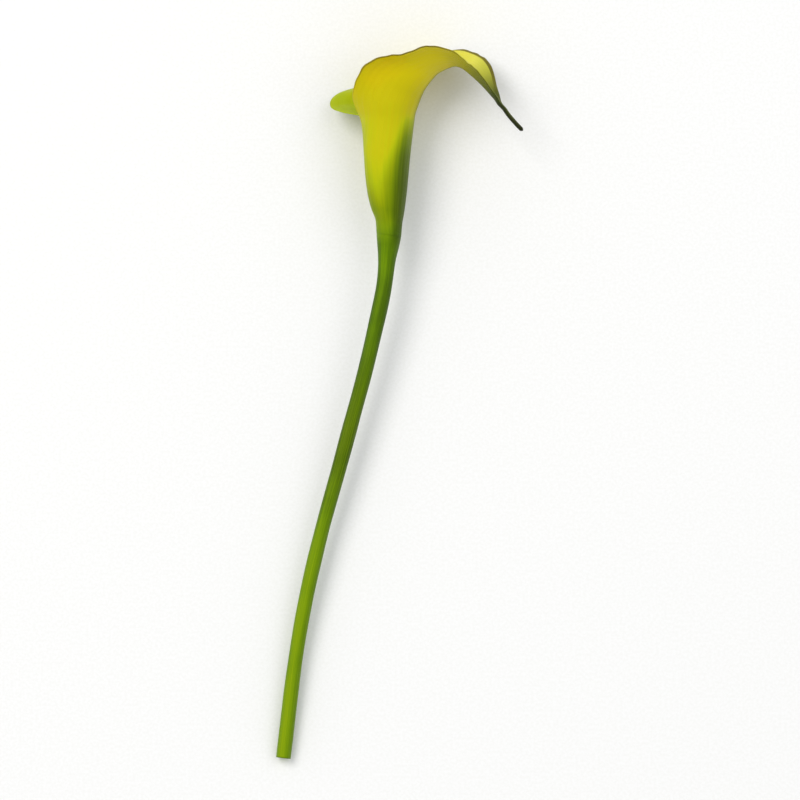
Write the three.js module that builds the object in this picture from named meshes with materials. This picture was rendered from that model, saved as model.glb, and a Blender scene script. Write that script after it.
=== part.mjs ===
// Arum lily flower, as picked, lying on its side. Millimetres, +Z up.
//
// The flower is first described as it stands: X across, Y up its tube, Z towards the viewer, with the
// midrib of its one blade (the spathe) in the plane Z = 0. It is then laid down: it turns a few degrees
// about X, so that the cut foot of the stem and the far side of the funnel both touch the ground.
import * as THREE from 'three';

// ---- stem -------------------------------------------------------------------------------------------
// Centreline of the stem, from the cut foot up to the blade, in the standing frame.
const STEM_ROUTE = [
  [-41.8, -207.9], [-37.3, -170.9], [-32.7, -144.0], [-26.6, -117.8], [-19.6, -92.4],
  [-14.2, -72.4], [-9.6, -55.4], [-5.4, -37.7], [-1.9, -20.8], [0.0, -6.9],
];
// Radius of the stem at a distance below the blade: it swells into the blade and again at its foot.
const STEM_RADII = [
  [0, 4.8], [2, 4.7], [6, 4.08], [10, 3.5], [18, 3.15], [60, 3.0], [150, 2.85], [213, 3.1],
];
const STEM_SIDES = 16;
const STEM_RINGS = 34;
// A power under 1 crowds the rings towards the blade, where the radius changes most.
const RING_SPACING_POWER = 0.85;
const SHOULDER_ROUND = 0.25;
const SOCKET_RADIUS = 2.15;
const SOCKET_HEIGHT = 3.2;

// ---- blade (spathe) ---------------------------------------------------------------------------------
// Stations along the midrib: where the midrib is, and for the near and the far half of the blade its
// width (midrib to margin, along the surface), the angle through which it has turned at one third, two
// thirds and the whole of that width, in degrees, and how far its margin droops back along the tube.
const STATIONS = [
  { midrib: [4.2, 0.0], near: [13.4, 64, 128, 192, 0], far: [11.4, 64, 128, 192, 0] },
  { midrib: [6.3, 13.5], near: [24.6, 66, 130, 198, 0], far: [22.6, 66, 132, 198, 0] },
  { midrib: [8.0, 30.0], near: [30.8, 66, 130, 198, 0], far: [28.8, 66, 132, 198, 0] },
  { midrib: [9.6, 45.0], near: [31.2, 60, 117, 158, 0.5], far: [32.2, 61, 121, 184, 0.5] },
  { midrib: [10.9, 51.0], near: [34.8, 56, 110, 148, 4.5], far: [40.8, 54, 106, 104, 7] },
  { midrib: [13.1, 56.8], near: [33.0, 50, 90, 94, 5.6], far: [33.2, 50, 66, 0, 5.8] },
  { midrib: [16.6, 62.0], near: [29.4, 40, 58, 18, 2.6], far: [31.0, 42, 28, -84, 4] },
  { midrib: [20.8, 66.0], near: [26.2, 26, 38, 2, 0.6], far: [28.6, 34, 16, -72, 2] },
  { midrib: [27.0, 68.0], near: [18.6, 14, 18, 2, 0], far: [18.0, 21, 34, 18, 0] },
  { midrib: [33.4, 64.2], near: [12.2, 12, 16, 2, 0], far: [14.8, 36, 58, 54, 0] },
  { midrib: [41.0, 56.6], near: [4.4, 16, 16, 16, 0], far: [5.4, 40, 60, 60, 0] },
  { midrib: [47.0, 49.6], near: [1.2, 10, 16, 16, 0], far: [1.2, 10, 16, 16, 0] },
  { midrib: [53.5, 42.0], near: [1.0, 10, 16, 16, 0], far: [1.0, 10, 16, 16, 0] },
];
const BLADE_ROWS = 60;
const HALF_COLUMNS = 16;
const STEPS_PER_COLUMN = 6;
const WALL_AT_BASE = 0.9;
const WALL_AT_MARGIN = 0.66;
const WALL_OF_TAIL = 1.5;
const TAIL_FROM = 9.5;
const TAIL_FULL = 11;
// The margin is gently waved where the blade is open.
const WAVE_HEIGHT = 0.7;
const WAVES_PER_STATION = 0.55;
const WAVE_FROM = 3.5;
const WAVE_TO = 9.5;
// Where the far half leaves the lap, its margin hangs lower and reaches further, in a free blunt lobe.
// Each change is full at the middle one of three places along the midrib, and nothing at the other two.
const LOBE_DROOP = 2.6;
const LOBE_DROOP_AT = [3.0, 3.8, 4.5];
const LOBE_WIDTH = 1.6;
const LOBE_WIDTH_AT = [3.7, 4.35, 5.0];

// ---- spadix -----------------------------------------------------------------------------------------
const STEM_OFFSET = 3.9;
const SPADIX_OFFSET = 3.3;
const SPADIX_DIRECTION = new THREE.Vector3(-0.02, 1, 0).normalize();
const PISTILLATE = { from: 3.5, to: 15.0, radii: [2.3, 2.8, 2.9, 2.75], around: 8, bump: 0.45 };
const STAMINATE = { from: 15.3, to: 46.0, radii: [2.75, 2.95, 2.7, 2.3], around: 12, bump: 0.4 };
const SPADIX_DOME = 3.0;
const DOME_RINGS = 5;
const ROW_PITCH = 0.95;

// ---- how it lies ------------------------------------------------------------------------------------
const SEAT_GAP = 0.3;
const SLOPE = THREE.MathUtils.degToRad(4.0);
const PRESS_BLEND = 0.7;
const FOOT_CLEARANCE = 0.01;

const lastStation = STATIONS.length - 1;
const footRadius = STEM_RADII[STEM_RADII.length - 1][1];
const footY = STEM_ROUTE[0][1];
// The foot's lower edge touches the ground, and this sets the height of everything else.
const footHeight = footRadius * Math.cos(Math.PI / STEM_SIDES) + FOOT_CLEARANCE;
const raise = footHeight * Math.cos(SLOPE) - footY * Math.sin(SLOPE);

/** Value at a real-numbered place in a list, by a smooth curve through all of its entries. */
function along(values, place) {
  const last = values.length - 1;
  const i = Math.min(Math.max(Math.floor(place), 0), last - 1);
  const t = place - i;
  const slopeAt = (n) => {
    if (n === 0) return values[1] - values[0];
    if (n === last) return values[last] - values[last - 1];
    return (values[n + 1] - values[n - 1]) / 2;
  };
  const t2 = t * t;
  const t3 = t2 * t;
  return (2 * t3 - 3 * t2 + 1) * values[i] + (t3 - 2 * t2 + t) * slopeAt(i)
    + (3 * t2 - 2 * t3) * values[i + 1] + (t3 - t2) * slopeAt(i + 1);
}

/** Straight-line reading of a table of [place, value] pairs. */
function readTable(table, place) {
  let i = 0;
  while (i < table.length - 2 && place > table[i + 1][0]) i += 1;
  const [a, b] = [table[i], table[i + 1]];
  const t = THREE.MathUtils.clamp((place - a[0]) / (b[0] - a[0]), 0, 1);
  return THREE.MathUtils.lerp(a[1], b[1], t);
}

/** A smooth hump: 0 up to low, 1 at top, and 0 again from high on. */
function bell(place, [low, top, high]) {
  return THREE.MathUtils.smoothstep(place, low, top) * (1 - THREE.MathUtils.smoothstep(place, top, high));
}

/** Lays a point of the standing flower down on its far side. */
function lay(point) {
  return new THREE.Vector3(
    point.x,
    point.y * Math.cos(SLOPE) - point.z * Math.sin(SLOPE),
    point.y * Math.sin(SLOPE) + point.z * Math.cos(SLOPE) + raise,
  );
}

/** Height of a soft wall that the ground presses: flat at the ground, with a round way into it. */
function press(height, ground) {
  const depth = height - ground;
  if (depth > PRESS_BLEND) return height;
  if (depth < -PRESS_BLEND) return ground;
  return ground + (depth + PRESS_BLEND) ** 2 / (4 * PRESS_BLEND);
}

// ---- midrib -----------------------------------------------------------------------------------------
const midribX = STATIONS.map((station) => station.midrib[0]);
const midribY = STATIONS.map((station) => station.midrib[1]);

function midribPoint(place) {
  return new THREE.Vector3(along(midribX, place), along(midribY, place), 0);
}

function midribTangent(place) {
  const step = 0.001;
  const before = midribPoint(Math.max(place - step, 0));
  const after = midribPoint(Math.min(place + step, lastStation));
  return after.sub(before).normalize();
}

/** Direction from the midrib into the tube, square to the midrib. */
function inward(tangent) {
  return new THREE.Vector3(-tangent.y, tangent.x, 0);
}

const baseTangent = midribTangent(0);
const baseInward = inward(baseTangent);

/** Point in or below the plane of the blade's foot, at an offset from the midrib. */
function footPoint(height, offset) {
  return midribPoint(0).addScaledVector(baseInward, offset).addScaledVector(baseTangent, height);
}

/** Point on the axis of the spadix, which stands in the middle of the tube. */
function spadixPoint(height) {
  return footPoint(0, SPADIX_OFFSET).addScaledVector(SPADIX_DIRECTION, height);
}

// ---- the blade's middle surface ---------------------------------------------------------------------
/** One half of a cross-section of the blade: points from the midrib to the margin. */
function halfSection(place, half, side) {
  const [bareWidth, first, second, third, bareDroop] = [0, 1, 2, 3, 4].map(
    (column) => along(STATIONS.map((station) => station[half][column]), place),
  );
  const lobe = half === 'far' ? 1 : 0;
  const width = bareWidth + lobe * LOBE_WIDTH * bell(place, LOBE_WIDTH_AT);
  const droop = bareDroop + lobe * LOBE_DROOP * bell(place, LOBE_DROOP_AT);
  const turns = [-first, 0, first, second, third];
  const origin = midribPoint(place);
  const tangent = midribTangent(place);
  const into = inward(tangent);
  const open = THREE.MathUtils.smoothstep(place, WAVE_FROM, WAVE_FROM + 1)
    * (1 - THREE.MathUtils.smoothstep(place, WAVE_TO - 1, WAVE_TO));
  const wave = WAVE_HEIGHT * open * Math.sin(2 * Math.PI * WAVES_PER_STATION * place + side);
  const points = [];
  let across = 0;
  let deep = 0;
  for (let column = 0; column <= HALF_COLUMNS; column += 1) {
    const part = column / HALF_COLUMNS;
    const droopHere = droop * part ** 2.5;
    const waveHere = wave * part ** 5;
    points.push(origin.clone()
      .addScaledVector(into, deep + waveHere)
      .addScaledVector(tangent, -droopHere)
      .add(new THREE.Vector3(0, 0, side * across)));
    for (let step = 0; step < STEPS_PER_COLUMN; step += 1) {
      const w = (column + (step + 0.5) / STEPS_PER_COLUMN) / HALF_COLUMNS;
      const angle = THREE.MathUtils.degToRad(along(turns, 1 + 3 * w));
      across += Math.cos(angle) * width / (HALF_COLUMNS * STEPS_PER_COLUMN);
      deep += Math.sin(angle) * width / (HALF_COLUMNS * STEPS_PER_COLUMN);
    }
  }
  return points;
}

/** A whole cross-section, from the far margin over the midrib to the near margin. */
function bladeSection(place) {
  const far = halfSection(place, 'far', -1).reverse();
  const near = halfSection(place, 'near', 1);
  return far.concat(near.slice(1));
}

function wallThickness(place, part) {
  const blade = THREE.MathUtils.lerp(WALL_AT_BASE, WALL_AT_MARGIN, part ** 2);
  return THREE.MathUtils.lerp(blade, WALL_OF_TAIL, THREE.MathUtils.smoothstep(place, TAIL_FROM, TAIL_FULL));
}

// ---- closed bodies ----------------------------------------------------------------------------------
function bodyFrom(points, faces) {
  const geometry = new THREE.BufferGeometry().setFromPoints(points);
  geometry.setIndex(faces.flat());
  geometry.computeVertexNormals();
  return geometry;
}

/** A shell between two grids of points, closed along its four edges. */
function shell(outer, inner) {
  const rows = outer.length;
  const columns = outer[0].length;
  const points = outer.flat().concat(inner.flat());
  const out = (i, j) => i * columns + j;
  const inn = (i, j) => rows * columns + i * columns + j;
  const faces = [];
  for (let i = 0; i < rows - 1; i += 1) {
    for (let j = 0; j < columns - 1; j += 1) {
      faces.push([out(i, j), out(i + 1, j), out(i + 1, j + 1)]);
      faces.push([out(i, j), out(i + 1, j + 1), out(i, j + 1)]);
      faces.push([inn(i, j), inn(i + 1, j + 1), inn(i + 1, j)]);
      faces.push([inn(i, j), inn(i, j + 1), inn(i + 1, j + 1)]);
    }
  }
  const edge = (a, b, c, d) => faces.push([a, b, c], [a, c, d]);
  for (let i = 0; i < rows - 1; i += 1) {
    edge(out(i + 1, 0), out(i, 0), inn(i, 0), inn(i + 1, 0));
    edge(out(i, columns - 1), out(i + 1, columns - 1), inn(i + 1, columns - 1), inn(i, columns - 1));
  }
  for (let j = 0; j < columns - 1; j += 1) {
    edge(out(0, j), out(0, j + 1), inn(0, j + 1), inn(0, j));
    edge(out(rows - 1, j + 1), out(rows - 1, j), inn(rows - 1, j), inn(rows - 1, j + 1));
  }
  return bodyFrom(points, faces);
}

/** A solid through closed rings of points, with a point in the middle of each end. */
function solidThroughRings(rings) {
  const sides = rings[0].length;
  const sumOf = (ring) => ring.reduce((sum, point) => sum.add(point), new THREE.Vector3());
  const middle = (ring) => sumOf(ring).divideScalar(sides);
  const points = rings.flat().concat([middle(rings[0]), middle(rings[rings.length - 1])]);
  const start = rings.length * sides;
  const faces = [];
  for (let j = 0; j < sides; j += 1) {
    const next = (j + 1) % sides;
    for (let i = 0; i < rings.length - 1; i += 1) {
      const [a, b] = [i * sides + j, i * sides + next];
      faces.push([a, b + sides, b], [a, a + sides, b + sides]);
    }
    faces.push([start, j, next]);
    faces.push([start + 1, (rings.length - 1) * sides + next, (rings.length - 1) * sides + j]);
  }
  return bodyFrom(points, faces);
}

/** A ring square to a direction that lies in the plane Z = 0; radiusAt gives the radius for an angle. */
function ring(centre, direction, sides, radiusAt) {
  const across = new THREE.Vector3(direction.y, -direction.x, 0);
  return Array.from({ length: sides }, (_, j) => {
    const angle = 2 * Math.PI * (j + 0.5) / sides;
    const radius = radiusAt(angle);
    return lay(centre.clone()
      .addScaledVector(across, radius * Math.cos(angle))
      .add(new THREE.Vector3(0, 0, radius * Math.sin(angle))));
  });
}

// ---- the pieces -------------------------------------------------------------------------------------
function makeStem() {
  const top = footPoint(-SEAT_GAP, STEM_OFFSET);
  const route = new THREE.CatmullRomCurve3(
    STEM_ROUTE.map(([x, y]) => new THREE.Vector3(x, y, 0)).concat([top]), false, 'centripetal',
  );
  const length = route.getLength();
  const rings = [];
  for (let i = 0; i < STEM_RINGS; i += 1) {
    const t = i / (STEM_RINGS - 1);
    const here = t ** RING_SPACING_POWER;
    const radius = readTable(STEM_RADII, length * (1 - here));
    const direction = i === STEM_RINGS - 1 ? baseTangent : route.getTangentAt(here);
    const centre = route.getPointAt(here);
    if (i === STEM_RINGS - 1) centre.addScaledVector(baseTangent, -SHOULDER_ROUND);
    rings.push(ring(centre, direction, STEM_SIDES, () => radius));
  }
  const shoulder = STEM_RADII[0][1] - SHOULDER_ROUND;
  rings.push(ring(top, baseTangent, STEM_SIDES, () => shoulder));
  const socketFoot = footPoint(-SEAT_GAP, SPADIX_OFFSET);
  rings.push(ring(socketFoot, baseTangent, STEM_SIDES, () => SOCKET_RADIUS));
  const socketTop = spadixPoint(SOCKET_HEIGHT);
  rings.push(ring(socketTop, SPADIX_DIRECTION, STEM_SIDES, () => SOCKET_RADIUS - SHOULDER_ROUND));
  return solidThroughRings(rings);
}

function makeSpathe() {
  const middle = [];
  for (let i = 0; i <= BLADE_ROWS; i += 1) {
    const section = bladeSection(lastStation * i / BLADE_ROWS).map(lay);
    section.forEach((point) => { point.z = press(point.z, WALL_AT_MARGIN / 2); });
    middle.push(section);
  }
  const lastColumn = 2 * HALF_COLUMNS;
  const laidTangent = lay(baseTangent).sub(lay(new THREE.Vector3()));
  const outer = [];
  const inner = [];
  middle.forEach((row, i) => {
    const rowBefore = middle[Math.max(i - 1, 0)];
    const rowAfter = middle[Math.min(i + 1, BLADE_ROWS)];
    outer.push([]);
    inner.push([]);
    row.forEach((point, j) => {
      const up = rowAfter[j].clone().sub(rowBefore[j]);
      const across = row[Math.min(j + 1, lastColumn)].clone().sub(row[Math.max(j - 1, 0)]);
      const normal = up.cross(across).normalize();
      // the blade's foot is cut square, so that it sits flat on the stem's shoulder
      if (i === 0) normal.addScaledVector(laidTangent, -normal.dot(laidTangent)).normalize();
      const part = Math.abs(j / HALF_COLUMNS - 1);
      // where the blade lies on the ground its wall is even, so that its lower face is flat there
      const onGround = point.z < WALL_AT_MARGIN;
      const wall = onGround ? WALL_AT_MARGIN : wallThickness(lastStation * i / BLADE_ROWS, part);
      outer[i].push(point.clone().addScaledVector(normal, wall / 2));
      inner[i].push(point.clone().addScaledVector(normal, -wall / 2));
    });
  });
  return shell(outer, inner);
}

/** A zone of the spadix: rings whose florets stand out in staggered rows, with an optional round end. */
function makeZone(zone, dome) {
  const sides = 2 * zone.around;
  const height = zone.to - zone.from;
  const straight = Math.round((height - dome) / ROW_PITCH);
  const domeRings = dome > 0 ? DOME_RINGS : 0;
  const rings = [];
  for (let i = 0; i <= straight + domeRings; i += 1) {
    const onDome = Math.max(i - straight, 0) / Math.max(domeRings + 0.5, 1);
    const h = i <= straight ? (height - dome) * i / straight
      : height - dome + dome * Math.sin(onDome * Math.PI / 2);
    const shrink = Math.cos(onDome * Math.PI / 2);
    const radius = along(zone.radii, 3 * h / height) * shrink;
    const end = i === 0 || i === straight + domeRings;
    const centre = spadixPoint(zone.from + h);
    rings.push(ring(centre, SPADIX_DIRECTION, sides, (angle) => {
      const side = Math.round(angle * sides / (2 * Math.PI) - 0.5);
      const floret = (side + i) % 2 === 0 && !end;
      return floret ? radius + zone.bump * Math.sqrt(shrink) : radius;
    }));
  }
  return solidThroughRings(rings);
}

// ---- scene ------------------------------------------------------------------------------------------
const flower = new THREE.Group();

function add(name, geometry, colour, roughness) {
  const material = new THREE.MeshStandardMaterial({ color: colour, roughness, metalness: 0 });
  const mesh = new THREE.Mesh(geometry, material);
  mesh.name = name;
  flower.add(mesh);
}

add('stem', makeStem(), 0x5c7d10, 0.5);
add('spathe', makeSpathe(), 0xc6bd14, 0.5);
add('pistillate_zone', makeZone(PISTILLATE, 0), 0xa3b53a, 0.6);
add('staminate_zone', makeZone(STAMINATE, SPADIX_DOME), 0xe0a81c, 0.75);

// The origin is on the ground, under the middle of the flower's box.
const box = new THREE.Box3().setFromObject(flower);
const centre = box.getCenter(new THREE.Vector3());
flower.position.set(-centre.x, -centre.y, -box.min.z);

export default flower;
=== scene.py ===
# %% [markdown]
# # An arum lily flower, as picked
#
# One flower lies on a pale floor, seen from above: a bare round stalk, one golden blade (the spathe) rolled
# into a tube with a flared mouth and a dark drooping tail, and inside the tube a finger of tiny flowers
# (the spadix), green ones below and golden ones above.
#
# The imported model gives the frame: where each piece is and how big it is. Every piece below is a finer
# version of one of its four solids, made in the same place.

import bpy
import numpy as np
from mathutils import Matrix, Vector


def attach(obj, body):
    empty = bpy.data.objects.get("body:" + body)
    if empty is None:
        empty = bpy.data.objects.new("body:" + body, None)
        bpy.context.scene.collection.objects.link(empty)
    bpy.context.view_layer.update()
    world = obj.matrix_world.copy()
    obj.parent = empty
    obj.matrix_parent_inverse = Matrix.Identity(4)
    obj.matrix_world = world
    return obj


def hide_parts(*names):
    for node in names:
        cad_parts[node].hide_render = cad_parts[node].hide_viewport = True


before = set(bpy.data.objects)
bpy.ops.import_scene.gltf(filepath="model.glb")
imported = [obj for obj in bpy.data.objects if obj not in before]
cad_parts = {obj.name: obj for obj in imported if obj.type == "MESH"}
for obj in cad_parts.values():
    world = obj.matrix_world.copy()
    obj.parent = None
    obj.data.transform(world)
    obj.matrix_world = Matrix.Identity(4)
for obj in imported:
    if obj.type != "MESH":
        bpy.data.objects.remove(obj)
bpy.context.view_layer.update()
print("nodes:", sorted(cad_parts))

# %% [markdown]
# ## Numbers that the pieces share
#
# The flower is easiest to describe as it stands: X across, Y up its tube, Z towards the viewer, with the
# midrib of the blade in the plane Z = 0. It then turns a few degrees about X, so that the cut foot and the
# far side of the mouth both touch the floor. All sizes are in millimetres, and become metres at the end.

# %% The way down to the floor
MM = 0.001
SLOPE = np.radians(4.0)
STAND_ORIGIN = np.array([-4.691, 65.604, 0.0])  # foot of the tube, measured from the frame's origin
RAISE = 17.545  # height of the tube's foot over the floor


def lay_down(points):
    """Turn by SLOPE about X, lift by RAISE, and move the foot of the tube to STAND_ORIGIN."""
    x, y, z = np.moveaxis(points, -1, 0)
    forward = y * np.cos(SLOPE) - z * np.sin(SLOPE)
    height = y * np.sin(SLOPE) + z * np.cos(SLOPE) + RAISE
    return np.stack([x, forward, height], -1) + STAND_ORIGIN


# %% Curves, soft steps and directions
def curve_through(values, place):
    """Smooth value at a real-numbered place in a list: a cubic between neighbours, whose slope at each
    entry is half the step from the entry before it to the entry after it."""
    values = np.asarray(values, float)
    place = np.asarray(place, float)
    slopes = np.gradient(values, axis=0)
    i = np.clip(np.floor(place).astype(int), 0, len(values) - 2)
    t = (place - i).reshape(place.shape + (1,) * (values.ndim - 1))
    return ((2 * t**3 - 3 * t**2 + 1) * values[i] + (t**3 - 2 * t**2 + t) * slopes[i]
            + (3 * t**2 - 2 * t**3) * values[i + 1] + (t**3 - t**2) * slopes[i + 1])


def smoothstep(low, high, x):
    """0 at low, 1 at high, and 3t^2 - 2t^3 between them."""
    t = np.clip((np.asarray(x, float) - low) / (high - low), 0, 1)
    return t * t * (3 - 2 * t)


def plateau(x, rise, fall):
    """0, then 1 between two soft steps: one up over the range rise, one down over the range fall."""
    return smoothstep(*rise, x) * (1 - smoothstep(*fall, x))


def bell(x, low, top, high):
    """A smooth hump: 0 up to low, 1 at top, and 0 again from high on."""
    return plateau(x, (low, top), (top, high))


def unit(vectors):
    """Vectors of length 1 in the same directions."""
    return vectors / np.maximum(np.linalg.norm(vectors, axis=-1, keepdims=True), 1e-12)


def normals(surface):
    """Directions square to a grid of points: the cross product of its steps along rows and columns."""
    return unit(np.cross(np.gradient(surface, axis=0), np.gradient(surface, axis=1)))


# %% From arrays to an object
def make_piece(name, points, faces, attributes):
    """A smooth-shaded mesh object from points in mm, faces, and one number per point for each attribute."""
    mesh = bpy.data.meshes.new(name)
    mesh.from_pydata((points * MM).tolist(), [], faces)
    mesh.validate()
    for attribute, values in attributes.items():
        layer = mesh.attributes.new(attribute, "FLOAT", "POINT")
        layer.data.foreach_set("value", np.asarray(values, np.float32).ravel())
    mesh.shade_smooth()
    mesh.update()
    piece = bpy.data.objects.new(name, mesh)
    bpy.context.scene.collection.objects.link(piece)
    print(f"{name}: {len(mesh.vertices)} points, {len(mesh.polygons)} faces")
    return piece


# %% [markdown]
# ## Camera first
#
# The flower lies down, so the camera looks down on the side that shows, with the foot of the stem at the
# bottom of the picture. It leans by the same few degrees as the flower does, so it looks square onto the
# flower's own plane. A long lens keeps the flat, distant look of a catalogue picture. The frame is square,
# and the flower fills most of its height.

# %% Camera
LENS = 300.0
SENSOR = 36.0
CLIP_END = 20.0
PICTURE_HEIGHT = 0.318  # what the square frame takes in, in metres, at the flower
LOOK_AT = Vector((0.0, 0.0, 0.020))

camera_data = bpy.data.cameras.new("camera")
camera_data.lens = LENS
camera_data.sensor_width = SENSOR
camera_data.clip_end = CLIP_END
camera = bpy.data.objects.new("camera", camera_data)
camera_distance = PICTURE_HEIGHT * LENS / SENSOR
camera.location = LOOK_AT + camera_distance * Vector((0.0, -np.sin(SLOPE), np.cos(SLOPE)))
camera.rotation_euler = (SLOPE, 0.0, 0.0)
bpy.context.scene.collection.objects.link(camera)
bpy.context.scene.camera = camera
print("camera distance in metres:", round(camera_distance, 3))

# %% [markdown]
# ## The blade: one sheet, described by its cross-sections
#
# The spathe is a single grown sheet. A plain tube with a flared end would lose what makes it an arum:
# the margins that lap over each other at the front, the mouth that slants, and the back that bends over
# into a tail. So the sheet is worked out from its midrib. At each station along the midrib, each half of
# the sheet has a width and a turn: how many degrees it has curled from straight sideways at one third, two
# thirds and the whole of its width. Adding up little steps in those directions draws the cross-section.
# 190 degrees is a closed tube, 100 degrees is an open gutter, and a negative turn rolls the margin outward.
# A droop lets the margin hang back towards the foot.

# %% Midrib, widths and turns
#    midrib x, y     near half: width, turns, droop      far half: width, turns, droop
STATIONS = np.array([
    [4.2, 0.0, 13.4, 64, 128, 192, 0, 11.4, 64, 128, 192, 0],
    [6.3, 13.5, 24.6, 66, 130, 198, 0, 22.6, 66, 132, 198, 0],
    [8.0, 30.0, 30.8, 66, 130, 198, 0, 28.8, 66, 132, 198, 0],
    [9.6, 45.0, 31.2, 60, 117, 158, 0.5, 32.2, 61, 121, 184, 0.5],
    [10.9, 51.0, 34.8, 56, 110, 148, 4.5, 40.8, 54, 106, 104, 7],
    [13.1, 56.8, 33.0, 50, 90, 94, 5.6, 33.2, 50, 66, 0, 5.8],
    [16.6, 62.0, 29.4, 40, 58, 18, 2.6, 31.0, 42, 28, -84, 4],
    [20.8, 66.0, 26.2, 26, 38, 2, 0.6, 28.6, 34, 16, -72, 2],
    [27.0, 68.0, 18.6, 14, 18, 2, 0, 18.0, 21, 34, 18, 0],
    [33.4, 64.2, 12.2, 12, 16, 2, 0, 14.8, 36, 58, 54, 0],
    [41.0, 56.6, 4.4, 16, 16, 16, 0, 5.4, 40, 60, 60, 0],
    [47.0, 49.6, 1.2, 10, 16, 16, 0, 1.2, 10, 16, 16, 0],
    [53.5, 42.0, 1.0, 10, 16, 16, 0, 1.0, 10, 16, 16, 0],
])
MIDRIB_COLUMNS = slice(0, 2)
NEAR_COLUMNS = slice(2, 7)
FAR_COLUMNS = slice(7, 12)
NEAR, FAR = 1, -1  # which way each half goes along Z
LAST = len(STATIONS) - 1
TANGENT_STEP = 0.001


def midrib(place):
    """Points of the midrib, its direction, and the direction from it into the tube, for each place."""
    route = STATIONS[:, MIDRIB_COLUMNS]
    point = curve_through(route, place)
    ahead = curve_through(route, np.minimum(place + TANGENT_STEP, LAST))
    behind = curve_through(route, np.maximum(place - TANGENT_STEP, 0))
    tangent = unit(ahead - behind)
    into = np.stack([-tangent[:, 1], tangent[:, 0]], -1)
    flat = np.zeros((len(place), 1))
    return [np.hstack([part, flat]) for part in (point, tangent, into)]


# %% Where the blade meets the stalk
STALK_OFFSET = 4.0  # from the midrib to the middle of the stalk's top
STALK_TOP_RADIUS = 5.0
STALK_TOP_SLOPE = 0.075  # how fast the skin widens there, in mm per mm

foot_point, foot_tangent, foot_into = [part[0] for part in midrib(np.array([0.0]))]
STALK_TOP = foot_point + STALK_OFFSET * foot_into
print("top of the stalk, standing, in mm:", STALK_TOP.round(2))

# %% [markdown]
# ## From turns to a surface
#
# The whole sheet is one grid: rows run along the midrib, columns from the far margin over the midrib to the
# near margin. Running sums take the place of a loop over points, so a fine grid costs no more code than a
# coarse one. A slow wave is added near the free margin, and a much finer crinkle at its very edge, because a
# living margin grows a little faster than the sheet behind it. On the far half a rounded lobe hangs out of
# the mouth beside the lap, so that half is a little wider there and droops more.

# %% Cross-sections
FINE_STEPS = 360


def cross_section(width, first, second, third, part):
    """How far each part of the width lies sideways and into the tube, one row for each station asked for:
    the running sums of cos(turn) and of sin(turn) over FINE_STEPS little steps of the width. The turn runs
    smoothly from 0 at the midrib through the three given angles, at thirds of the width."""
    ends = np.linspace(0, 1, FINE_STEPS + 1)
    turns = np.stack([-first, np.zeros_like(first), first, second, third])
    turn = np.radians(curve_through(turns, 1 + 3 * (ends[:-1] + ends[1:]) / 2)).T
    left = np.minimum((part * FINE_STEPS).astype(int), FINE_STEPS - 1)
    blend = part * FINE_STEPS - left
    start = np.zeros((len(width), 1))
    sums = [np.hstack([start, np.cumsum(step, 1)]) for step in (np.cos(turn), np.sin(turn))]
    sums = [total * width[:, None] / FINE_STEPS for total in sums]
    return [total[:, left] * (1 - blend) + total[:, left + 1] * blend for total in sums]


# %% Half a sheet
FREE_FROM, FREE_TO = (3.5, 4.5), (8.5, 9.5)  # stations over which the free margin begins, and ends
WAVE_HEIGHT, WAVES_PER_STATION = 0.7, 0.55
CRINKLE_HEIGHT, CRINKLES_PER_STATION = 0.16, 2.3
CRINKLE_CROWDING, CROWDING_RATE = 1.3, 2.1  # uneven crinkles: radians, and radians per station
WAVE_POWER, CRINKLE_POWER, DROOP_POWER = 5, 14, 2.5  # the larger, the closer to the margin it stays
LOBE_DROOP, LOBE_DROOP_AT = 2.6, (3.0, 3.8, 4.5)  # the far half's free lobe hangs lower
LOBE_WIDTH, LOBE_WIDTH_AT = 1.6, (3.7, 4.35, 5.0)  # and reaches further, at these places


def half_sheet(place, part, columns, side):
    """Points (rows, columns, 3) of one half: the midrib, its cross-section, the wave * part^5 and the
    crinkle * part^14 into the tube, and the droop * part^2.5 back along the midrib."""
    width, first, second, third, droop = curve_through(STATIONS[:, columns], place).T
    if side == FAR:
        droop = droop + LOBE_DROOP * bell(place, *LOBE_DROOP_AT)
        width = width + LOBE_WIDTH * bell(place, *LOBE_WIDTH_AT)
    sideways, deep = cross_section(width, first, second, third, part)

    free = plateau(place, FREE_FROM, FREE_TO)
    wave = WAVE_HEIGHT * free * np.sin(2 * np.pi * WAVES_PER_STATION * place + side)
    crowding = CRINKLE_CROWDING * np.sin(CROWDING_RATE * place)
    crinkle = np.sin(2 * np.pi * CRINKLES_PER_STATION * place + 2 * side + crowding)
    deep = deep + wave[:, None] * part**WAVE_POWER
    deep = deep + (CRINKLE_HEIGHT * free * crinkle)[:, None] * part**CRINKLE_POWER

    point, tangent, into = midrib(place)
    back = droop[:, None] * part**DROOP_POWER
    sheet = point[:, None] + deep[..., None] * into[:, None] - back[..., None] * tangent[:, None]
    sheet[..., 2] += side * sideways
    return sheet


# %% [markdown]
# ## The sheet as it grew and lies
#
# Three things turn the drawn sheet into a grown one. Very low, slow swellings take away its ruled look.
# Where the tube is closed, the near margin hugs the layer under it, and where the lap lets go the shoulder
# is relaxed, as a crease in a living sheet rounds off. The dry tail wanders a little from side to side.

# %% The grid
BLADE_ROWS = 262
FOOT_ROWS, FOOT_PART = 12, 0.22  # so many rows lie in the first part of a station
FOOT_CROWDING = 2.2
HALF_COLUMNS = 66
CURVED_SHARE, COLUMN_CURVE = 0.45, 0.8  # how strongly the columns close up towards the margin


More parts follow.
